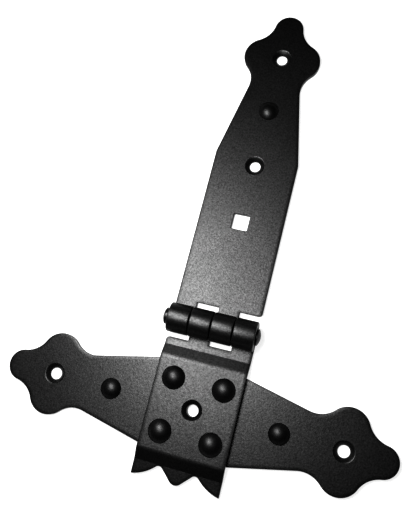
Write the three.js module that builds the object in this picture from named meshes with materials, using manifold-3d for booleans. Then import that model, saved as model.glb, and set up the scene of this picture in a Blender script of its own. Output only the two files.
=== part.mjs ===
// A decorative cross hinge: a strap leaf and a saddle plate turn on one pin, and the saddle is
// riveted over a cross plate with two arms. It lies on its back: +X runs along the pin, +Y towards
// the strap's tip and +Z out of the face. Millimetres.
import * as THREE from "three";
import { mergeVertices } from "three/addons/utils/BufferGeometryUtils.js";
import Module from "manifold-3d";

const wasm = await Module();
wasm.setup();

// ---------------------------------------------------------------- driving dimensions
const sheet = 3; // thickness of the strap, the saddle and the cross plate
const width = 45; // strap, saddle and barrel, along the pin

const pinRadius = 4.2;
const pinClearance = 0.3; // round the pin, all the way
const knuckleCount = 4; // the strap has the 1st and 3rd, the saddle the 2nd and 4th
const knuckleGap = 0.4; // between neighbouring knuckles
const rollGap = 0.5; // between a roll's cut end and the leaf it returns to
const pinOverhang = { left: 3.3, right: 2.3 }; // past the barrel
const pinDome = 1.6; // height of the peened ends

const strapSlotGap = 3.3; // between the strap's slots and the saddle's knuckles
const strapSlotCorner = 1;
const strapTipHoleY = 195.5; // from the cross plate's centre line
const strapPitch = 32; // square hole, screw hole, rivet, tip hole
const strapTaper = 59.5; // from the tip hole back to the end of the parallel sides
const squareHole = 8.6; // across flats, for the neck of an M8 coach bolt
const squareCorner = 0.7;

const armHoleX = 75.1; // screw holes in the cross plate's ends
const armPitch = 31.4; // from each of them back to the arm's rivet
const armRootHalf = 21.7; // half the cross plate's width under the saddle

// A three-lobed end. Lengths run outwards from the screw hole at its centre.
const trefoil = {
  reach: 25.9, // hole to tip
  tipRadius: 7.9,
  lobeRadius: 10.4,
  lobeHalf: 21.1, // half the width over the two side lobes
  shoulderRadius: 13.2, // hollow between side lobe and tip
  neckHalf: 14, // half the width at the neck
  neckRadius: 13,
};

const bridgeMargin = 0.5; // flat top of the saddle, past the cross plate's edges
const slopeAngle = THREE.MathUtils.degToRad(23); // where the saddle comes down, at its steepest
const topBend = 3; // inside radius at the top of the slope, on the back
const footBend = 1; // inside radius at the fold below the slope, on the face
const foldLift = 0.6; // the sheet's back is still this high at the fold
const endRun = 7.4; // from the fold, along the pressed-down end, to where its back is level
const saddleFlat = 3.6; // from the fold to the saddle's slots
const saddleSlotGap = 2; // between the saddle's slots and the strap's knuckles
const saddleCorner = 2;
const scallopDepth = 6.8;
const valleyX = 9.3;
const valleyRadius = 2.3;
const noseRadius = 3.9; // middle lobe
const cornerLobeRadius = 22;

const armScrew = { holeRadius: 3, sinkRadius: 5, sinkDepth: 2 }; // and at the saddle's centre
const strapScrew = { holeRadius: 2.9, sinkRadius: 5, sinkDepth: 1.8 };
const rivetInset = { side: 9.5, edge: 8.4 }; // from the saddle's sides and the cross plate's edges
const saddleHead = { radius: 5.9, height: 3.2 };
const ornamentHead = { radius: 5.3, height: 3 };
const shank = { radius: 3, flareRadius: 4, flareHeight: 1 };
const rivetClearance = 0.15;
const backRelief = 0.1; // rivet tails stay this far above the back

const arcStep = Math.PI / 16; // longest step along a round stretch
const closest = 1e-3; // outline points nearer than this are one point
const overcut = 1; // cutters run this far past the faces they cut

// ---------------------------------------------------------------- derived dimensions
const pitch = width / knuckleCount;
const boreRadius = pinRadius + pinClearance;
const barrelRadius = boreRadius + sheet;
const raisedTop = 2 * sheet;
const tall = raisedTop + 2 * barrelRadius; // higher than everything, for cutters

// From the raised top the saddle bends down a slope, folds to a gentler one, and reaches the back.
const raisedHalf = armRootHalf + bridgeMargin;
const bendSum = topBend + sheet + footBend;
const slopeDrop = sheet - foldLift - bendSum * (1 - Math.cos(slopeAngle));
const slopeLength = slopeDrop / Math.sin(slopeAngle);
const foldY = raisedHalf + bendSum * Math.sin(slopeAngle) + slopeLength * Math.cos(slopeAngle);
const levelY = foldY + endRun;
const endAngle = Math.atan2(foldLift, endRun);
const footY = levelY - (footBend + sheet) * Math.tan(endAngle / 2); // scalloped edge, below centre

const saddleSlotY = foldY + saddleFlat;
const pinAxisY = saddleSlotY + saddleSlotGap + barrelRadius; // above the cross plate's centre line
const strapSlotY = pinAxisY + barrelRadius + strapSlotGap;
const rivetX = width / 2 - rivetInset.side;
const rivetY = armRootHalf - rivetInset.edge;
const armRivetX = armHoleX - armPitch;
const strapTipY = strapTipHoleY + trefoil.reach;
const strapKinkY = strapTipHoleY - strapTaper;
const middleY = (strapTipY - footY) / 2; // centre of the whole hinge lying flat

// ---------------------------------------------------------------- outlines
// A belt round pulleys. Each disc is { x, y, r, turn }: turn 1 passes round it anticlockwise (a
// convex stretch), turn -1 clockwise (a hollow). A disc without r is a sharp corner.
function belt(discs) {
  const count = discs.length;
  const heading = discs.map((from, i) => {
    const to = discs[(i + 1) % count];
    const dx = to.x - from.x;
    const dy = to.y - from.y;
    const side = (to.r ?? 0) * (to.turn ?? 1) - (from.r ?? 0) * (from.turn ?? 1);
    const along = Math.sqrt(Math.max(dx * dx + dy * dy - side * side, 0));
    return Math.atan2(dy, dx) - Math.atan2(side, along);
  });
  const points = discs.flatMap((disc, i) => {
    const { x, y, r = 0, turn = 1 } = disc;
    if (!r) return [new THREE.Vector2(x, y)];
    const start = heading[(i + count - 1) % count];
    const swing = THREE.MathUtils.euclideanModulo(turn * (heading[i] - start), 2 * Math.PI);
    const steps = 2 * Math.max(1, Math.ceil(swing / arcStep / 2));
    return Array.from({ length: steps + 1 }, (_, k) => {
      const angle = start + (turn * swing * k) / steps;
      return new THREE.Vector2(x + turn * r * Math.sin(angle), y - turn * r * Math.cos(angle));
    });
  });
  return points.filter((point, i) => point.distanceTo(points.at(i - 1)) > closest);
}

// Centre of the circle of radius r that touches circles a and b from outside, on a's right hand
// when looking from a to b.
function nestle(a, b, r) {
  const dx = b.x - a.x;
  const dy = b.y - a.y;
  const span = Math.hypot(dx, dy);
  const along = ((a.r + r) ** 2 - (b.r + r) ** 2 + span ** 2) / (2 * span);
  const aside = Math.sqrt((a.r + r) ** 2 - along ** 2);
  return {
    x: a.x + (dx * along + dy * aside) / span,
    y: a.y + (dy * along - dx * aside) / span,
    r,
  };
}

// The discs of a three-lobed end, in anticlockwise order, for an end whose hole is at (x, y) and
// that points along heading (radians).
function trefoilEnd(x, y, heading) {
  const { reach, tipRadius, lobeRadius, lobeHalf, shoulderRadius, neckHalf, neckRadius } = trefoil;
  const tip = { x: reach - tipRadius, y: 0, r: tipRadius };
  const lobe = { x: 0, y: lobeRadius - lobeHalf, r: lobeRadius };
  const shoulder = { ...nestle(lobe, tip, shoulderRadius), turn: -1 };
  const neckY = -neckHalf - neckRadius;
  const neckX = -Math.sqrt((lobeRadius + neckRadius) ** 2 - (neckY - lobe.y) ** 2);
  const neck = { x: neckX, y: neckY, r: neckRadius, turn: -1 };
  const side = [neck, lobe, shoulder];
  const other = side.map((disc) => ({ ...disc, y: -disc.y })).reverse();
  return [...side, tip, ...other].map((disc) => ({
    ...disc,
    x: x + disc.x * Math.cos(heading) - disc.y * Math.sin(heading),
    y: y + disc.x * Math.sin(heading) + disc.y * Math.cos(heading),
  }));
}

// ---------------------------------------------------------------- solids
function solid(geometry) {
  const bare = geometry.clone();
  bare.deleteAttribute("normal");
  bare.deleteAttribute("uv");
  const merged = mergeVertices(bare, 1e-4);
  const index = merged.index.array;
  const faces = [];
  for (let i = 0; i < index.length; i += 3) {
    const [a, b, c] = index.slice(i, i + 3);
    if (a !== b && b !== c && c !== a) faces.push(a, b, c);
  }
  return new wasm.Manifold(
    new wasm.Mesh({
      numProp: 3,
      vertProperties: merged.attributes.position.array,
      triVerts: new Uint32Array(faces),
    }),
  );
}

function mesh(name, body, material) {
  const { vertProperties, triVerts } = body.getMesh();
  const geometry = new THREE.BufferGeometry();
  geometry.setAttribute("position", new THREE.BufferAttribute(vertProperties, 3));
  geometry.setIndex(new THREE.BufferAttribute(triVerts, 1));
  geometry.computeVertexNormals();
  const made = new THREE.Mesh(geometry, material);
  made.name = name;
  return made;
}

// A plan outline (x, y) raised from low to high.
function plate(outline, low, high) {
  const options = { depth: high - low, bevelEnabled: false };
  const geometry = new THREE.ExtrudeGeometry(new THREE.Shape(outline), options);
  return solid(geometry.translate(0, 0, low));
}

// A side outline (y, z) drawn out along the pin from left to right.
function rolled(outline, left, right) {
  const options = { depth: right - left, bevelEnabled: false };
  const geometry = new THREE.ExtrudeGeometry(new THREE.Shape(outline), options);
  const sideways = new THREE.Matrix4().makeBasis(
    new THREE.Vector3(0, 1, 0),
    new THREE.Vector3(0, 0, 1),
    new THREE.Vector3(1, 0, 0),
  );
  return solid(geometry.applyMatrix4(sideways).translate(left, 0, 0));
}

// A round piece from a profile of [radius, height] pairs that starts and ends on its axis, which
// runs along Y.
function lathed(profile) {
  const points = profile.map(([radius, height]) => new THREE.Vector2(radius, height));
  return new THREE.LatheGeometry(points, Math.round((2 * Math.PI) / arcStep));
}

// The same, standing up at (x, y).
function turned(profile, x, y) {
  return solid(lathed(profile).rotateX(Math.PI / 2).translate(x, y, 0));
}

// A dome's [radius, height] pairs from its rim to its top.
function dome(radius, height, base) {
  const ball = (radius ** 2 + height ** 2) / (2 * height);
  const rim = Math.asin(radius / ball);
  const steps = Math.ceil(rim / arcStep);
  return Array.from({ length: steps + 1 }, (_, k) => {
    const angle = rim * (1 - k / steps);
    return [ball * Math.sin(angle), base + height - ball * (1 - Math.cos(angle))];
  });
}

// ---------------------------------------------------------------- holes
// A screw hole through everything, countersunk from the face at height top.
function screwHole(x, y, top, { holeRadius, sinkRadius, sinkDepth }) {
  const profile = [
    [0, -overcut],
    [holeRadius, -overcut],
    [holeRadius, top - sinkDepth],
    [sinkRadius, top],
    [sinkRadius, tall],
    [0, tall],
  ];
  return turned(profile, x, y);
}

// The hole for a rivet's shank and its flared tail.
function rivetHole(x, y) {
  const flare = shank.flareRadius + rivetClearance;
  const bore = shank.radius + rivetClearance;
  const profile = [
    [0, -overcut],
    [flare, -overcut],
    [flare, 0],
    [bore, shank.flareHeight],
    [bore, tall],
    [0, tall],
  ];
  return turned(profile, x, y);
}

// A square with slightly rounded corners, centred on the strap.
function squareCut(y) {
  const reach = squareHole / 2 - squareCorner;
  const corners = [
    [1, 1],
    [-1, 1],
    [-1, -1],
    [1, -1],
  ];
  const discs = corners.map(([right, up]) => ({
    x: right * reach,
    y: y + up * reach,
    r: squareCorner,
  }));
  return plate(belt(discs), -overcut, tall);
}

// ---------------------------------------------------------------- pieces
const coat = { color: 0x1a1a1c, roughness: 0.42, metalness: 0.25 };
const rivetCoat = { color: 0x101011, roughness: 0.34, metalness: 0.3 };
const pinCoat = { color: 0x242426, roughness: 0.4, metalness: 0.35 };
const material = (look) => new THREE.MeshStandardMaterial(look);

// The four rivets that hold the saddle, by name.
function rivetPlaces() {
  return ["left", "right"].flatMap((side) =>
    ["upper", "lower"].map((row) => ({
      name: `${side}_${row}_saddle_rivet`,
      x: side === "left" ? -rivetX : rivetX,
      y: row === "upper" ? rivetY : -rivetY,
    })),
  );
}

// A knuckle's left and right ends. Its outer ends are flush with the leaves' sides.
function knuckleSpan(number) {
  const trim = knuckleGap / 2;
  const left = -width / 2 + (number - 1) * pitch;
  return {
    left: number === 1 ? left : left + trim,
    right: number === knuckleCount ? left + pitch : left + pitch - trim,
  };
}

// The roll of one knuckle. The sheet comes along the back from the leaf, passes under the pin,
// round its far side and over it, and ends just above the leaf again. side is 1 for a leaf on the
// +Y side of the pin and -1 for one on the -Y side.
function knuckle(number, side) {
  const end = Math.asin(1 - (sheet + rollGap) / barrelRadius);
  const sweep = 1.5 * Math.PI + end;
  const steps = Math.ceil(sweep / arcStep);
  const ring = (radius) =>
    Array.from({ length: steps + 1 }, (_, k) => {
      const angle = Math.min(k * arcStep, sweep);
      const y = pinAxisY - side * radius * Math.sin(angle);
      return new THREE.Vector2(y, barrelRadius - radius * Math.cos(angle));
    });
  const { left, right } = knuckleSpan(number);
  return rolled([...ring(barrelRadius), ...ring(boreRadius).reverse()], left, right);
}

function strapLeaf() {
  const half = width / 2;
  const [first, second] = [knuckleSpan(1), knuckleSpan(3)];
  const outline = belt([
    { x: first.left, y: pinAxisY },
    { x: first.right, y: pinAxisY },
    { x: first.right, y: strapSlotY },
    { x: second.left, y: strapSlotY },
    { x: second.left, y: pinAxisY },
    { x: second.right, y: pinAxisY },
    { x: second.right, y: strapSlotY },
    { x: half - strapSlotCorner, y: strapSlotY + strapSlotCorner, r: strapSlotCorner },
    { x: half, y: strapKinkY },
    ...trefoilEnd(0, strapTipHoleY, Math.PI / 2),
    { x: -half, y: strapKinkY },
  ]);
  const [studY, screwY, squareY] = [1, 2, 3].map((n) => strapTipHoleY - n * strapPitch);
  return plate(outline, 0, sheet)
    .add(knuckle(1, 1))
    .add(knuckle(3, 1))
    .subtract(squareCut(squareY))
    .subtract(screwHole(0, screwY, sheet, strapScrew))
    .subtract(screwHole(0, strapTipHoleY, sheet, strapScrew))
    .subtract(rivetHole(0, studY));
}

// The plan of the saddle: two tongues and two slots at the pin, straight sides, and a scalloped
// foot of a middle lobe between two half lobes.
function saddleOutline() {
  const half = width / 2;
  const [first, second] = [knuckleSpan(2), knuckleSpan(4)];
  const valley = { x: valleyX, y: -footY + scallopDepth - valleyRadius, r: valleyRadius };
  const corner = { x: half, y: -footY };
  const lobe = nestle({ ...corner, r: 0 }, valley, cornerLobeRadius);
  return belt([
    { ...corner, x: -half },
    { ...lobe, x: -lobe.x },
    { ...valley, x: -valleyX, turn: -1 },
    { x: 0, y: -footY + noseRadius, r: noseRadius },
    { ...valley, turn: -1 },
    lobe,
    corner,
    { x: second.right, y: pinAxisY },
    { x: second.left, y: pinAxisY },
    { x: second.left, y: saddleSlotY },
    { x: first.right, y: saddleSlotY },
    { x: first.right, y: pinAxisY },
    { x: first.left, y: pinAxisY },
    { x: first.left, y: saddleSlotY },
    { x: -half + saddleCorner, y: saddleSlotY - saddleCorner, r: saddleCorner },
  ]);
}

// The side view of the saddle: raised over the cross plate, and pressed down to the back at both
// ends. The foot ends there, and the pin's end runs on level into the knuckles.
function saddleProfile() {
  const top = { x: raisedHalf, y: sheet - topBend };
  const fold = { x: foldY, y: footBend + sheet + foldLift };
  const level = { x: levelY, y: footBend + sheet };
  const face = [
    { ...fold, r: footBend, turn: -1 },
    { ...top, r: topBend + sheet },
  ];
  const back = [
    { ...top, r: topBend, turn: -1 },
    { ...fold, r: footBend + sheet },
  ];
  const mirrored = (discs) => discs.map((disc) => ({ ...disc, x: -disc.x })).reverse();
  const pastFoot = (height) => ({
    x: -footY - overcut * Math.cos(endAngle) - height * Math.sin(endAngle),
    y: -overcut * Math.sin(endAngle) + height * Math.cos(endAngle),
  });
  return belt([
    { x: pinAxisY, y: sheet },
    { ...level, r: footBend, turn: -1 },
    ...face,
    ...mirrored(face),
    pastFoot(sheet),
    pastFoot(0),
    ...mirrored(back),
    ...back,
    { ...level, r: footBend + sheet },
    { x: pinAxisY, y: 0 },
  ]);
}

function saddlePlate() {
  const half = width / 2;
  return rivetPlaces().reduce(
    (body, { x, y }) => body.subtract(rivetHole(x, y)),
    rolled(saddleProfile(), -half, half)
      .intersect(plate(saddleOutline(), -overcut, tall))
      .add(knuckle(2, -1))
      .add(knuckle(4, -1))
      .subtract(screwHole(0, 0, raisedTop, armScrew)),
  );
}

function crossPlate() {
  const half = width / 2;
  const outline = belt([
    { x: half, y: -armRootHalf },
    ...trefoilEnd(armHoleX, 0, 0),
    { x: half, y: armRootHalf },
    { x: -half, y: armRootHalf },
    ...trefoilEnd(-armHoleX, 0, Math.PI),
    { x: -half, y: -armRootHalf },
  ]);
  const holes = [
    screwHole(0, 0, raisedTop, armScrew),
    screwHole(armHoleX, 0, sheet, armScrew),
    screwHole(-armHoleX, 0, sheet, armScrew),
    rivetHole(armRivetX, 0),
    rivetHole(-armRivetX, 0),
    ...rivetPlaces().map(({ x, y }) => rivetHole(x, y)),
  ];
  return holes.reduce((body, hole) => body.subtract(hole), plate(outline, 0, sheet));
}

function hingePin() {
  const left = -width / 2 - pinOverhang.left;
  const right = width / 2 + pinOverhang.right;
  const cap = dome(pinRadius, pinDome, 0);
  const profile = [
    ...cap.map(([radius, height]) => [radius, left + pinDome - height]).reverse(),
    ...cap.map(([radius, height]) => [radius, right - pinDome + height]),
  ];
  const geometry = lathed(profile).rotateZ(-Math.PI / 2);
  return solid(geometry.translate(0, pinAxisY, barrelRadius));
}

// A domed rivet seated on a face at height base. Its tail is flared into the back of the plate.
function rivet({ x, y }, head, base) {
  const { radius, flareRadius, flareHeight } = shank;
  const tail = THREE.MathUtils.lerp(flareRadius, radius, backRelief / flareHeight);
  const profile = [
    [0, backRelief],
    [tail, backRelief],
    [radius, flareHeight],
    [radius, base],
    ...dome(head.radius, head.height, base),
  ];
  return turned(profile, x, y);
}

// ---------------------------------------------------------------- the hinge
const strapRivetY = strapTipHoleY - strapPitch;
const hinge = new THREE.Group();
hinge.position.set(0, -middleY, 0);
hinge.add(
  mesh("strap_leaf", strapLeaf(), material(coat)),
  mesh("saddle_plate", saddlePlate(), material(coat)),
  mesh("cross_plate", crossPlate(), material(coat)),
  mesh("hinge_pin", hingePin(), material(pinCoat)),
  mesh("strap_rivet", rivet({ x: 0, y: strapRivetY }, ornamentHead, sheet), material(rivetCoat)),
);
for (const { name, x, y } of rivetPlaces()) {
  hinge.add(mesh(name, rivet({ x, y }, saddleHead, raisedTop), material(rivetCoat)));
}
for (const [name, x] of [
  ["left_arm_rivet", -armRivetX],
  ["right_arm_rivet", armRivetX],
]) {
  hinge.add(mesh(name, rivet({ x, y: 0 }, ornamentHead, sheet), material(rivetCoat)));
}

const part = new THREE.Group();
part.add(hinge);
export default part;
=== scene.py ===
"""Looks for a decorative black cross hinge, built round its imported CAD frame.

The strap, the saddle and the cross plate are pressed from sheet: each is made here as a flat blank
with rounded edges and real holes, then bent and rolled as the press would do it. Lengths are in
millimetres until a mesh is made.
"""

import math

import bmesh
import bpy
from mathutils import Matrix, Vector, geometry


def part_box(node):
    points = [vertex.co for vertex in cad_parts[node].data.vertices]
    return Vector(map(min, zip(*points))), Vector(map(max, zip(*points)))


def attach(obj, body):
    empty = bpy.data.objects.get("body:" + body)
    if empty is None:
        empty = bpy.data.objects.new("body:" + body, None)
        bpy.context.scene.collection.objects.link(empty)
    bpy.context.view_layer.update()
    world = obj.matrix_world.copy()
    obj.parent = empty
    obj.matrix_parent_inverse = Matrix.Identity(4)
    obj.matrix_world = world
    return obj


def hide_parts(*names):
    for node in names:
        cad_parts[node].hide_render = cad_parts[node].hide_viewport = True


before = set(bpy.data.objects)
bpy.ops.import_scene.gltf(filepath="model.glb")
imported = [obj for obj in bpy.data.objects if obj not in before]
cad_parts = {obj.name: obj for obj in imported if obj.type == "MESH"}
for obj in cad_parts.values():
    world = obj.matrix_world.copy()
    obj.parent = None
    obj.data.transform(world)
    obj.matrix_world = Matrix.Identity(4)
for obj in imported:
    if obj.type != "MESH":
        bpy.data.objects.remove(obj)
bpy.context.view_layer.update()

MM = 0.001


def box_mm(node):
    low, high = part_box(node)
    return low / MM, high / MM


# ------------------------------------------------------------------ sizes from the frame
strap_high = box_mm("strap_leaf")[1]
saddle_low = box_mm("saddle_plate")[0]
cross_low, cross_high = box_mm("cross_plate")
pin_low, pin_high = box_mm("hinge_pin")

SHEET = cross_high.z
HALF = strap_high.x
BARREL = strap_high.z / 2
PIN_Y = (pin_low.y + pin_high.y) / 2
PIN_RADIUS = (pin_high.y - pin_low.y) / 2
CENTRE_Y = (cross_low.y + cross_high.y) / 2

# ------------------------------------------------------------------ sizes of the blanks
BACK_ROUND = 0.5
RIM_ROUND = 0.12  # the tight turn at the face's rim
ROLL_RADIUS = 9.0  # the press draws the face down towards the rim in a long shallow roll
ROLL_ANGLE = math.radians(11)  # its slope at the rim
HOLE_ROUND = 0.3
CORNER = 0.4  # inside corners of the slots
OUTER_CORNER = 2.0

KNUCKLES = 4
KNUCKLE_GAP = 0.4
ROLL_GAP = 0.5  # between a roll's cut end and the leaf
STRAP_SLOT = BARREL + 3.3  # from the pin's axis
SADDLE_SLOT = BARREL + 2.0
SADDLE_CORNER = 2.0

REACH = 25.9  # three-lobed end, from its hole to its tip
TIP_RADIUS = 7.9
LOBE_RADIUS = 10.4
LOBE_HALF = 21.1
SHOULDER_RADIUS = 13.2
NECK_HALF = 14.0
NECK_RADIUS = 13.0

STRAP_PITCH = 32.0
STRAP_TAPER = 59.5
SQUARE = 8.6
SQUARE_CORNER = 0.7
SQUARE_ROUND = 0.35
ROOT_HALF = 21.7

RAISED_HALF = ROOT_HALF + 0.5
SLOPE_ANGLE = math.radians(23)
TOP_BEND = 3.0  # inside radii of the saddle's bends
FOOT_BEND = 1.0
FOLD_LIFT = 0.6  # height of the back at the fold below the slope
END_RUN = 7.4  # from the fold to where the back is level
SCALLOP = 6.8
VALLEY_X = 9.3
VALLEY_RADIUS = 2.3
NOSE_RADIUS = 3.9
CORNER_LOBE = 22.0

ARM_SCREW = (3.0, 5.0, 2.0)  # radius of the hole, radius and depth of its countersink
STRAP_SCREW = (2.9, 5.0, 1.8)
SHANK_RADIUS = 3.0
FLARE_RADIUS = 4.0
FLARE_HEIGHT = 1.0
CLEARANCE = 0.15
RIVET_LIP = 0.35  # the upright edge round a rivet's dome
PIN_LIP = 0.3
PIN_HEAD = 1.6  # height of the pin's peened dome

ARC_STEP = math.radians(4)
BEND_STEP = math.radians(6)
ROUND_STEPS = 4  # along an edge's rounding
ROLL_STEPS = 6
HOLE_SIDES = 72
LATHE_SIDES = 72
CLOSEST = 1e-3  # points of an outline nearer than this are one
MITRE_LIMIT = 0.3  # keeps a sharp corner's mitre from running far in
CUT_TOLERANCE = 1e-5
POLE_RADIUS = 1e-6
CREASE_ANGLE = math.radians(40)

tip_hole_y = strap_high.y - REACH
arm_hole_x = cross_high.x - REACH
middle = SHEET / 2
sweep = 1.5 * math.pi + math.asin(1 - (SHEET + ROLL_GAP) / BARREL)
roll_length = sweep * (BARREL - middle)

# The saddle's side view: distances out from its centre line.
bend_sum = TOP_BEND + SHEET + FOOT_BEND
slope_drop = SHEET - FOLD_LIFT - bend_sum * (1 - math.cos(SLOPE_ANGLE))
slope = slope_drop / math.sin(SLOPE_ANGLE)
fold_y = RAISED_HALF + bend_sum * math.sin(SLOPE_ANGLE) + slope * math.cos(SLOPE_ANGLE)
level_y = fold_y + END_RUN
end_angle = math.atan2(FOLD_LIFT, END_RUN)
end_length = math.hypot(FOLD_LIFT, END_RUN)
foot_radius = FOOT_BEND + middle

# (length, turn) of each stretch along the middle of a sheet; a positive turn is downwards.
roll = [(roll_length, -sweep)]
fold = [
    (RAISED_HALF, 0),
    (SLOPE_ANGLE * (TOP_BEND + middle), SLOPE_ANGLE),
    (slope, 0),
    ((SLOPE_ANGLE - end_angle) * foot_radius, end_angle - SLOPE_ANGLE),
]
press = [*fold, (end_length, 0), (end_angle * foot_radius, -end_angle)]
saddle_path = [*press, (PIN_Y - CENTRE_Y - level_y, 0), *roll]
fold_run = sum(length for length, turn in fold)
level_run = sum(length for length, turn in press)


# ------------------------------------------------------------------ outlines
def disc(x, y, r=0.0, turn=1):
    return {"x": x, "y": y, "r": r, "turn": turn}


def belt(discs):
    """A closed outline passed round pulleys, anticlockwise round turn 1 and clockwise round -1."""
    count = len(discs)
    heading = []
    for i, a in enumerate(discs):
        b = discs[(i + 1) % count]
        dx, dy = b["x"] - a["x"], b["y"] - a["y"]
        side = b["r"] * b["turn"] - a["r"] * a["turn"]
        along = math.sqrt(max(dx * dx + dy * dy - side * side, 0))
        heading.append(math.atan2(dy, dx) - math.atan2(side, along))
    points = []
    for i, d in enumerate(discs):
        if not d["r"]:
            points.append((d["x"], d["y"]))
            continue
        start = heading[i - 1]
        swing = (d["turn"] * (heading[i] - start)) % (2 * math.pi)
        steps = max(2, math.ceil(swing / ARC_STEP))
        for k in range(steps + 1):
            angle = start + d["turn"] * swing * k / steps
            x = d["x"] + d["turn"] * d["r"] * math.sin(angle)
            y = d["y"] - d["turn"] * d["r"] * math.cos(angle)
            points.append((x, y))
    kept = []
    for p in points:
        if not kept or math.dist(p, kept[-1]) > CLOSEST:
            kept.append(p)
    if math.dist(kept[0], kept[-1]) < CLOSEST:
        kept.pop()
    return kept


def nestle(a, b, r):
    """The circle (x, y, r) that touches circles a and b from outside, on the right from a to b."""
    dx, dy = b[0] - a[0], b[1] - a[1]
    span = math.hypot(dx, dy)
    near, far = a[2] + r, b[2] + r
    along = (near**2 - far**2 + span**2) / (2 * span)
    aside = math.sqrt(near**2 - along**2)
    return a[0] + (dx * along + dy * aside) / span, a[1] + (dy * along - dx * aside) / span, r


def trefoil(x, y, heading):
    """The pulleys of a three-lobed end whose hole is at (x, y), pointing along heading."""
    lobe = (0.0, LOBE_RADIUS - LOBE_HALF, LOBE_RADIUS)
    tip = (REACH - TIP_RADIUS, 0.0, TIP_RADIUS)
    shoulder = nestle(lobe, tip, SHOULDER_RADIUS)
    neck_y = -NECK_HALF - NECK_RADIUS
    neck_x = -math.sqrt((LOBE_RADIUS + NECK_RADIUS) ** 2 - (neck_y - lobe[1]) ** 2)
    side = [(neck_x, neck_y, NECK_RADIUS, -1), (*lobe, 1), (*shoulder, -1)]
    other = [(px, -py, r, turn) for px, py, r, turn in reversed(side)]
    c, s = math.cos(heading), math.sin(heading)
    return [
        disc(x + px * c - py * s, y + px * s + py * c, r, turn)
        for px, py, r, turn in [*side, (*tip, 1), *other]
    ]


def inset(points, depth):
    """The outline moved inwards by depth, with mitred corners."""
    if not depth:
        return list(points)
    moved = []
    count = len(points)
    for i, (x, y) in enumerate(points):
        ax, ay = points[i - 1]
        bx, by = points[(i + 1) % count]
        u = Vector((x - ax, y - ay)).normalized()
        v = Vector((bx - x, by - y)).normalized()
        n = Vector((-u.y - v.y, u.x + v.x)).normalized()
        scale = depth / max(n.dot(Vector((-u.y, u.x))), MITRE_LIMIT)
        moved.append((x + n.x * scale, y + n.y * scale))
    return moved


def circle(x, y, r):
    step = 2 * math.pi / HOLE_SIDES
    return [(x + r * math.cos(k * step), y + r * math.sin(k * step)) for k in range(HOLE_SIDES)]


# ------------------------------------------------------------------ blanks
def arc(start, end, count):
    return [start + (end - start) * k / count for k in range(count + 1)]


def edge_profile():
    """(inset, height) pairs up a pressed edge, from its back to its face."""
    upright = math.pi / 2
    back = [
        (BACK_ROUND * (1 - math.sin(a)), BACK_ROUND * (1 - math.cos(a)))
        for a in arc(0, upright, ROUND_STEPS)
    ]
    rim_top = SHEET - ROLL_RADIUS * (1 - math.cos(ROLL_ANGLE))
    rim = [
        (RIM_ROUND * (1 - math.sin(a)), rim_top - RIM_ROUND * (math.cos(ROLL_ANGLE) - math.cos(a)))
        for a in arc(upright, ROLL_ANGLE, ROUND_STEPS)
    ]
    rim_width = RIM_ROUND * (1 - math.sin(ROLL_ANGLE))
    face = [
        (
            rim_width + ROLL_RADIUS * (math.sin(ROLL_ANGLE) - math.sin(a)),
            SHEET - ROLL_RADIUS * (1 - math.cos(a)),
        )
        for a in arc(ROLL_ANGLE, 0, ROLL_STEPS)
    ]
    return [*back, *rim, *face[1:]]


def edge_rings(outline):
    return [(inset(outline, depth), height) for depth, height in edge_profile()]


def screw_rings(x, y, screw):
    """A countersunk screw hole's (points, height), its edges softened by the coat."""
    radius, sink, depth = screw
    soft = HOLE_ROUND
    wall = (sink - radius) / depth
    profile = [
        (radius + soft, 0),
        (radius, soft),
        (radius, SHEET - depth - soft),
        (radius + soft / 4, SHEET - depth - soft / 4),
        (radius + wall * soft, SHEET - depth + soft),
        (sink - wall * soft, SHEET - soft),
        (sink, SHEET - soft / 3),
        (sink + soft, SHEET),
    ]
    return [(circle(x, y, r), h) for r, h in profile]


def plain_rings(x, y, screw):
    return [(circle(x, y, screw[0]), h) for h in (0, SHEET)]


def rivet_rings(x, y):
    bore = SHANK_RADIUS + CLEARANCE
    profile = [(FLARE_RADIUS + CLEARANCE, 0), (bore, FLARE_HEIGHT), (bore, SHEET)]
    return [(circle(x, y, r), h) for r, h in profile]


def square_rings(x, y):
    reach = SQUARE / 2 - SQUARE_CORNER
    corners = [(1, 1), (-1, 1), (-1, -1), (1, -1)]
    outline = belt([disc(x + i * reach, y + j * reach, SQUARE_CORNER) for i, j in corners])
    quarter = arc(0, math.pi / 2, ROUND_STEPS)
    back = [(-SQUARE_ROUND * (1 - math.sin(a)), SQUARE_ROUND * (1 - math.cos(a))) for a in quarter]
    profile = [*back, *((depth, SHEET - h) for depth, h in reversed(back))]
    return [(inset(outline, depth), h) for depth, h in profile]


def blank(outline, holes, cuts, bend, curved):
    """A flat blank as a bmesh, cut across at each y in cuts, then put in place by bend(x, y, h).
    curved(y) says whether the blank is bent there."""
    bm = bmesh.new()
    tops, bottoms = [], []
    for number, rings in enumerate([edge_rings(outline), *holes]):
        made = [[bm.verts.new((x, y, h)) for x, y in points] for points, h in rings]
        for below, above in zip(made, made[1:]):
            for i in range(len(below)):
                j = (i + 1) % len(below)
                quad = [below[i], below[j], above[j], above[i]]
                face = bm.faces.new(quad if number == 0 else quad[::-1])
                face.smooth = True
        bottoms.append(made[0])
        tops.append(made[-1])
    for loops in (bottoms, tops):
        corners = [v for loop in loops for v in loop]
        for triangle in geometry.tessellate_polygon([[v.co.copy() for v in loop] for loop in loops]):
            bm.faces.new([corners[i] for i in triangle])
    bmesh.ops.recalc_face_normals(bm, faces=bm.faces)
    for y in cuts:
        everything = [*bm.verts, *bm.edges, *bm.faces]
        cut = {"plane_co": (0, y, 0), "plane_no": (0, 1, 0)}
        bmesh.ops.bisect_plane(bm, geom=everything, dist=CUT_TOLERANCE, **cut)
    for face in bm.faces:
        if curved(face.calc_center_median().y):
            face.smooth = True
    for vert in bm.verts:
        vert.co = Vector(bend(*vert.co))
    return bm


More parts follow.
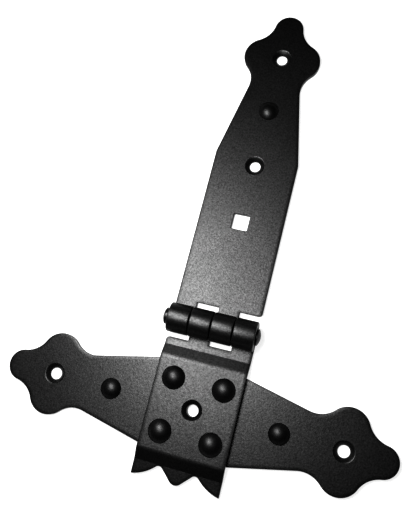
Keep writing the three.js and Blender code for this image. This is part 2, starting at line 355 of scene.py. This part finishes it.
def finished(bm, name, body, material, slot, *nodes):
    """Makes the piece from its bmesh, in metres, with creases where faces meet sharply."""
    bmesh.ops.recalc_face_normals(bm, faces=bm.faces)
    bm.normal_update()
    for edge in bm.edges:
        if len(edge.link_faces) == 2 and edge.calc_face_angle() > CREASE_ANGLE:
            edge.smooth = False
    bm.transform(Matrix.Scale(MM, 4))
    mesh = bpy.data.meshes.new(name)
    bm.to_mesh(mesh)
    bm.free()
    piece = bpy.data.objects.new(name, mesh)
    bpy.context.scene.collection.objects.link(piece)
    mesh.materials.append(material)
    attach(piece, body)
    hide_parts(*nodes)
    return piece


def knuckle_span(number):
    pitch = 2 * HALF / KNUCKLES
    left = -HALF + (number - 1) * pitch
    trim = KNUCKLE_GAP / 2
    return (
        left if number == 1 else left + trim,
        left + pitch if number == KNUCKLES else left + pitch - trim,
    )


def bent(path, run, h):
    """(distance out, height) of the point h above a sheet's back that is run along its path."""
    out, height, angle = 0.0, middle, 0.0
    for length, turn in path:
        step = min(run, length)
        swing = turn * step / length
        if turn:
            radius = length / turn
            out += radius * (math.sin(angle + swing) - math.sin(angle))
            height -= radius * (math.cos(angle) - math.cos(angle + swing))
        else:
            out += step * math.cos(angle)
            height -= step * math.sin(angle)
        angle += swing
        run -= step
    return out + (h - middle) * math.sin(angle), height + (h - middle) * math.cos(angle)


def bend_lines(path):
    """The distances along a path at which its bends are cut across, but for its very end."""
    lines, run = [], 0.0
    for length, turn in path:
        if turn:
            lines += arc(run, run + length, math.ceil(abs(turn) / BEND_STEP))
        run += length
    return [line for line in lines if line < run - middle]


# ------------------------------------------------------------------ the strap leaf
def strap_leaf():
    slot_y = PIN_Y + STRAP_SLOT
    end_y = PIN_Y - roll_length
    (a, b), (c, d) = knuckle_span(1), knuckle_span(3)
    outline = belt(
        [
            disc(a, end_y),
            disc(b, end_y),
            disc(b + CORNER, slot_y - CORNER, CORNER, -1),
            disc(c - CORNER, slot_y - CORNER, CORNER, -1),
            disc(c, end_y),
            disc(d, end_y),
            disc(d + CORNER, slot_y - CORNER, CORNER, -1),
            disc(HALF - OUTER_CORNER, slot_y + OUTER_CORNER, OUTER_CORNER),
            disc(HALF, tip_hole_y - STRAP_TAPER),
            *trefoil(0, tip_hole_y, math.pi / 2),
            disc(-HALF, tip_hole_y - STRAP_TAPER),
        ]
    )
    holes = [
        screw_rings(0, tip_hole_y, STRAP_SCREW),
        rivet_rings(0, tip_hole_y - STRAP_PITCH),
        screw_rings(0, tip_hole_y - 2 * STRAP_PITCH, STRAP_SCREW),
        square_rings(0, tip_hole_y - 3 * STRAP_PITCH),
    ]

    def bend(x, y, h):
        if y >= PIN_Y:
            return x, y, h
        along, height = bent(roll, PIN_Y - y, h)
        return x, PIN_Y - along, height

    cuts = [PIN_Y - run for run in bend_lines(roll)]
    return blank(outline, holes, cuts, bend, lambda y: y < PIN_Y)


# ------------------------------------------------------------------ the saddle
def saddle_bend(x, y, h):
    side = 1 if y > CENTRE_Y else -1
    out, height = bent(saddle_path, abs(y - CENTRE_Y), h)
    return x, CENTRE_Y + side * out, SHEET + height


def end_run(out):
    """How far along the saddle's path a point is whose face is this far out, past the fold."""
    return fold_run + (out - fold_y + FOOT_BEND * math.sin(end_angle)) / math.cos(end_angle)


def saddle_plate():
    slot_y = CENTRE_Y + end_run(PIN_Y - SADDLE_SLOT - CENTRE_Y)
    roll_y = PIN_Y + level_run - level_y
    end_y = roll_y + roll_length
    foot_y = CENTRE_Y - end_run(CENTRE_Y - saddle_low.y)
    (a, b), (c, d) = knuckle_span(2), knuckle_span(4)
    valley = (VALLEY_X, foot_y + SCALLOP - VALLEY_RADIUS, VALLEY_RADIUS)
    lobe_x, lobe_y, lobe = nestle((HALF, foot_y, 0), valley, CORNER_LOBE)
    outline = belt(
        [
            disc(-HALF, foot_y),
            disc(-lobe_x, lobe_y, lobe),
            disc(-VALLEY_X, *valley[1:], -1),
            disc(0, foot_y + NOSE_RADIUS, NOSE_RADIUS),
            disc(*valley, -1),
            disc(lobe_x, lobe_y, lobe),
            disc(HALF, foot_y),
            disc(d, end_y),
            disc(c, end_y),
            disc(c - CORNER, slot_y + CORNER, CORNER, -1),
            disc(b + CORNER, slot_y + CORNER, CORNER, -1),
            disc(b, end_y),
            disc(a, end_y),
            disc(a - CORNER, slot_y + CORNER, CORNER, -1),
            disc(-HALF + SADDLE_CORNER, slot_y - SADDLE_CORNER, SADDLE_CORNER),
        ]
    )
    centre = screw_rings(0, CENTRE_Y, ARM_SCREW)
    holes = [centre, *(rivet_rings(x, y) for x, y in saddle_rivets.values())]
    cuts = [CENTRE_Y + side * run for run in bend_lines(saddle_path) for side in (1, -1)]

    def curved(y):
        return RAISED_HALF < abs(y - CENTRE_Y) < level_run or y > roll_y

    return blank(outline, holes, sorted(cuts), saddle_bend, curved)


# ------------------------------------------------------------------ the cross plate
def cross_plate():
    outline = belt(
        [
            disc(HALF, CENTRE_Y - ROOT_HALF),
            *trefoil(arm_hole_x, CENTRE_Y, 0),
            disc(HALF, CENTRE_Y + ROOT_HALF),
            disc(-HALF, CENTRE_Y + ROOT_HALF),
            *trefoil(-arm_hole_x, CENTRE_Y, math.pi),
            disc(-HALF, CENTRE_Y - ROOT_HALF),
        ]
    )
    rivets = [*saddle_rivets.values(), *arm_rivets.values()]
    holes = [
        plain_rings(0, CENTRE_Y, ARM_SCREW),
        screw_rings(arm_hole_x, CENTRE_Y, ARM_SCREW),
        screw_rings(-arm_hole_x, CENTRE_Y, ARM_SCREW),
        *(rivet_rings(x, y) for x, y in rivets),
    ]
    return blank(outline, holes, [], lambda x, y, h: (x, y, h), lambda y: False)


# ------------------------------------------------------------------ turned pieces
def lathe(profile):
    """A round piece about Z from (radius, height) pairs between its two poles."""
    bm = bmesh.new()
    step = 2 * math.pi / LATHE_SIDES
    rings = []
    for r, z in profile:
        if r < POLE_RADIUS:
            rings.append([bm.verts.new((0, 0, z))])
        else:
            corners = [(r * math.cos(k * step), r * math.sin(k * step), z) for k in range(LATHE_SIDES)]
            rings.append([bm.verts.new(co) for co in corners])
    for below, above in zip(rings, rings[1:]):
        for i in range(LATHE_SIDES):
            j = (i + 1) % LATHE_SIDES
            lower = [below[i % len(below)], below[j % len(below)]]
            upper = [above[j % len(above)], above[i % len(above)]]
            face = bm.faces.new(list(dict.fromkeys([*lower, *upper])))
            face.smooth = True
    return bm


def cap(radius, height, base, lip):
    """(radius, height) pairs of a domed head with a low upright lip at its rim."""
    rise = height - lip
    ball = (radius**2 + rise**2) / (2 * rise)
    rim = math.asin(radius / ball)
    count = math.ceil(rim / ARC_STEP)
    pairs = [(radius - lip / 2, base), (radius - lip / 8, base + lip / 4)]
    for k in range(count + 1):
        angle = rim * (1 - k / count)
        pairs.append((ball * math.sin(angle), base + height - ball * (1 - math.cos(angle))))
    return pairs


def rivet(name, base):
    low, high = box_mm(name)
    radius = (high.x - low.x) / 2
    profile = [
        (0, low.z),
        (FLARE_RADIUS - low.z, low.z),
        (SHANK_RADIUS, FLARE_HEIGHT),
        (SHANK_RADIUS, base),
        *cap(radius, high.z - base, base, RIVET_LIP),
    ]
    bm = lathe(profile)
    bm.transform(Matrix.Translation(((low.x + high.x) / 2, (low.y + high.y) / 2, 0)))
    return bm


def hinge_pin():
    head = cap(PIN_RADIUS, PIN_HEAD, 0, PIN_LIP)
    left = [(r, pin_low.x + PIN_HEAD - h) for r, h in head]
    right = [(r, pin_high.x - PIN_HEAD + h) for r, h in head]
    bm = lathe([*left[::-1], *right])
    bm.transform(Matrix.Translation((0, PIN_Y, BARREL)) @ Matrix.Rotation(math.pi / 2, 4, "Y"))
    return bm


def middle_of(node):
    low, high = box_mm(node)
    return (low.x + high.x) / 2, (low.y + high.y) / 2


sides, rows = ("left", "right"), ("upper", "lower")
saddle_names = [f"{side}_{row}_saddle_rivet" for side in sides for row in rows]
saddle_rivets = {name: middle_of(name) for name in saddle_names}
arm_rivets = {name: middle_of(name) for name in ("left_arm_rivet", "right_arm_rivet")}


# ------------------------------------------------------------------ materials
COAT_DARK = (0.0002, 0.0002, 0.0002, 1)
COAT_LIGHT = (0.001, 0.001, 0.001, 1)
COAT_ROUGHNESS = 0.4
ROUGHER, SMOOTHER = 0.03, 0.02  # how far the cloudiness takes the roughness up and down
PLATE_LEVEL = 0.305  # specular level
ROUND_LEVEL = 0.25  # the same on the rivets and the pin
RIVET_GRAIN = 0.6  # share of the grain that a rivet's smoother coat keeps
GLINT = 0.5  # share by which the grain raises and lowers the specular level
NOISE_LOW, NOISE_HIGH = 0.3, 0.7  # the range most of a noise lies in

# Each noise: scale, detail, roughness.
PEBBLES = (1100, 3, 0.6)
SPECKS = (900, 4, 0.7)
SPARKS = (1250, 3, 0.7)
CLOUDS = (28, 3, 0.6)
BUMP_STRENGTH = 0.8
BUMP_HEIGHT = 0.00006


def powder_coat(name, level, grain=1.0):
    """A satin powder coat: a fine pebbled grain that glints, over a faint cloudiness of gloss."""
    material = bpy.data.materials.new(name)
    material.use_nodes = True
    nodes, links = material.node_tree.nodes, material.node_tree.links
    shader = nodes["Principled BSDF"]
    where = nodes.new("ShaderNodeTexCoord").outputs["Object"]

    def noise(scale, detail, rough):
        node = nodes.new("ShaderNodeTexNoise")
        node.inputs["Scale"].default_value = scale
        node.inputs["Detail"].default_value = detail
        node.inputs["Roughness"].default_value = rough
        links.new(where, node.inputs["Vector"])
        return node.outputs["Fac"]

    def spread(value, low, high):
        node = nodes.new("ShaderNodeMapRange")
        node.inputs["From Min"].default_value = NOISE_LOW
        node.inputs["From Max"].default_value = NOISE_HIGH
        node.inputs["To Min"].default_value = low
        node.inputs["To Max"].default_value = high
        links.new(value, node.inputs["Value"])
        return node.outputs["Result"]

    pebbles = noise(*PEBBLES)
    tone = nodes.new("ShaderNodeMix")
    tone.data_type = "RGBA"
    tone.inputs["A"].default_value = COAT_DARK
    tone.inputs["B"].default_value = COAT_LIGHT
    links.new(spread(noise(*SPECKS), 0, 1), tone.inputs["Factor"])
    links.new(tone.outputs["Result"], shader.inputs["Base Color"])
    glint = spread(noise(*SPARKS), level * (1 - GLINT * grain), level * (1 + GLINT * grain))
    links.new(glint, shader.inputs["Specular IOR Level"])
    cloudy = spread(noise(*CLOUDS), COAT_ROUGHNESS - SMOOTHER, COAT_ROUGHNESS + ROUGHER)
    links.new(cloudy, shader.inputs["Roughness"])
    bump = nodes.new("ShaderNodeBump")
    bump.inputs["Strength"].default_value = BUMP_STRENGTH * grain
    bump.inputs["Distance"].default_value = BUMP_HEIGHT
    links.new(pebbles, bump.inputs["Height"])
    links.new(bump.outputs["Normal"], shader.inputs["Normal"])
    return material


coat = powder_coat("black_coat", PLATE_LEVEL)
rivet_coat = powder_coat("rivet_coat", ROUND_LEVEL, RIVET_GRAIN)
pin_coat = powder_coat("pin_coat", ROUND_LEVEL)

finished(strap_leaf(), "strap_leaf_look", "strap", coat, "black_coat", "strap_leaf")
finished(saddle_plate(), "saddle_plate_look", "base", coat, "black_coat", "saddle_plate")
finished(cross_plate(), "cross_plate_look", "base", coat, "black_coat", "cross_plate")
finished(hinge_pin(), "hinge_pin_look", "base", pin_coat, "pin_coat", "hinge_pin")
for name in saddle_names:
    finished(rivet(name, 2 * SHEET), name + "_look", "base", rivet_coat, "rivet_coat", name)
for name in arm_rivets:
    finished(rivet(name, SHEET), name + "_look", "base", rivet_coat, "rivet_coat", name)
strap_dome = rivet("strap_rivet", SHEET)
finished(strap_dome, "strap_rivet_look", "strap", rivet_coat, "rivet_coat", "strap_rivet")

# The frame's own solids are hidden, and carry the same coats.
for name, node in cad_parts.items():
    own = rivet_coat if "rivet" in name else pin_coat if name == "hinge_pin" else coat
    node.data.materials.clear()
    node.data.materials.append(own)


# ------------------------------------------------------------------ floor, light and camera
WHITE = (1, 1, 1, 1)
FLOOR_HALF = 10
FLOOR_DROP = 0.0002
PAPER_ROUGHNESS = 0.9
PAPER_LEVEL = 0.1
PAPER_GLOW = 0.85
PAPER_GRAIN = 400
PAPER_TONES = ((0.20, 0.20, 0.20, 1), (0.22, 0.22, 0.22, 1))

SOFTBOX_SIZE = (0.092, 0.19)
SOFTBOX_WATTS = 2.6
SOFTBOX_PLACE = (-0.0715, -0.005, 0.2465)
SOFTBOX_TURN = math.radians(37)

PALE_BELOW = math.radians(5)  # heights over the horizon
DARK_ABOVE = math.radians(12)
PALE, DARK = 0.9, 0.03

LENS = 44.89
SENSOR = 36
NEAREST = 0.01
CAMERA_PLACE = (53.15, -76.95, 324.06)
CAMERA_TURN = (13.329, 8.574, 14.549)
VIEW_GAMMA = 0.7


def floor():
    """A pale paper floor that glows a little, just under the hinge."""
    mesh = bpy.data.meshes.new("floor")
    signs = [(-1, -1), (1, -1), (1, 1), (-1, 1)]
    corners = [(i * FLOOR_HALF, j * FLOOR_HALF, 0) for i, j in signs]
    mesh.from_pydata(corners, [], [(0, 1, 2, 3)])
    made = bpy.data.objects.new("floor", mesh)
    made.location.z = -FLOOR_DROP
    bpy.context.scene.collection.objects.link(made)
    material = bpy.data.materials.new("floor_paper")
    material.use_nodes = True
    nodes, links = material.node_tree.nodes, material.node_tree.links
    shader = nodes["Principled BSDF"]
    shader.inputs["Roughness"].default_value = PAPER_ROUGHNESS
    shader.inputs["Specular IOR Level"].default_value = PAPER_LEVEL
    shader.inputs["Emission Color"].default_value = WHITE
    shader.inputs["Emission Strength"].default_value = PAPER_GLOW
    grain = nodes.new("ShaderNodeTexNoise")
    grain.inputs["Scale"].default_value = PAPER_GRAIN
    ramp = nodes.new("ShaderNodeValToRGB")
    for stop, tone in zip(ramp.color_ramp.elements, PAPER_TONES):
        stop.color = tone
    links.new(grain.outputs["Fac"], ramp.inputs["Fac"])
    links.new(ramp.outputs["Color"], shader.inputs["Base Color"])
    mesh.materials.append(material)


def softbox():
    """The one lamp: a close rectangular diffuser to the left of the strap, facing down."""
    light = bpy.data.lights.new("softbox", "AREA")
    light.shape = "RECTANGLE"
    light.size, light.size_y = SOFTBOX_SIZE
    light.energy = SOFTBOX_WATTS
    made = bpy.data.objects.new("softbox", light)
    made.location = SOFTBOX_PLACE
    made.rotation_euler.z = SOFTBOX_TURN
    made.visible_camera = False
    bpy.context.scene.collection.objects.link(made)


def studio():
    """A dark room overhead, pale round the horizon, which only low views see directly."""
    world = bpy.data.worlds.new("studio")
    world.use_nodes = True
    nodes, links = world.node_tree.nodes, world.node_tree.links
    split = nodes.new("ShaderNodeSeparateXYZ")
    links.new(nodes.new("ShaderNodeTexCoord").outputs["Generated"], split.inputs["Vector"])
    fall = nodes.new("ShaderNodeMapRange")
    fall.inputs["From Min"].default_value = math.sin(PALE_BELOW)
    fall.inputs["From Max"].default_value = math.sin(DARK_ABOVE)
    fall.inputs["To Min"].default_value = PALE
    fall.inputs["To Max"].default_value = DARK
    links.new(split.outputs["Z"], fall.inputs["Value"])
    links.new(fall.outputs["Result"], nodes["Background"].inputs["Strength"])
    nodes["Background"].inputs["Color"].default_value = WHITE
    return world


floor()
softbox()
scene = bpy.context.scene
scene.world = studio()
scene.view_settings.view_transform = "Standard"
scene.view_settings.gamma = VIEW_GAMMA

camera = bpy.data.cameras.new("camera")
camera.lens = LENS
camera.sensor_width = SENSOR
camera.clip_start = NEAREST
eye = bpy.data.objects.new("camera", camera)
eye.location = Vector(CAMERA_PLACE) * MM
eye.rotation_euler = [math.radians(angle) for angle in CAMERA_TURN]
bpy.context.scene.collection.objects.link(eye)
bpy.context.scene.camera = eye
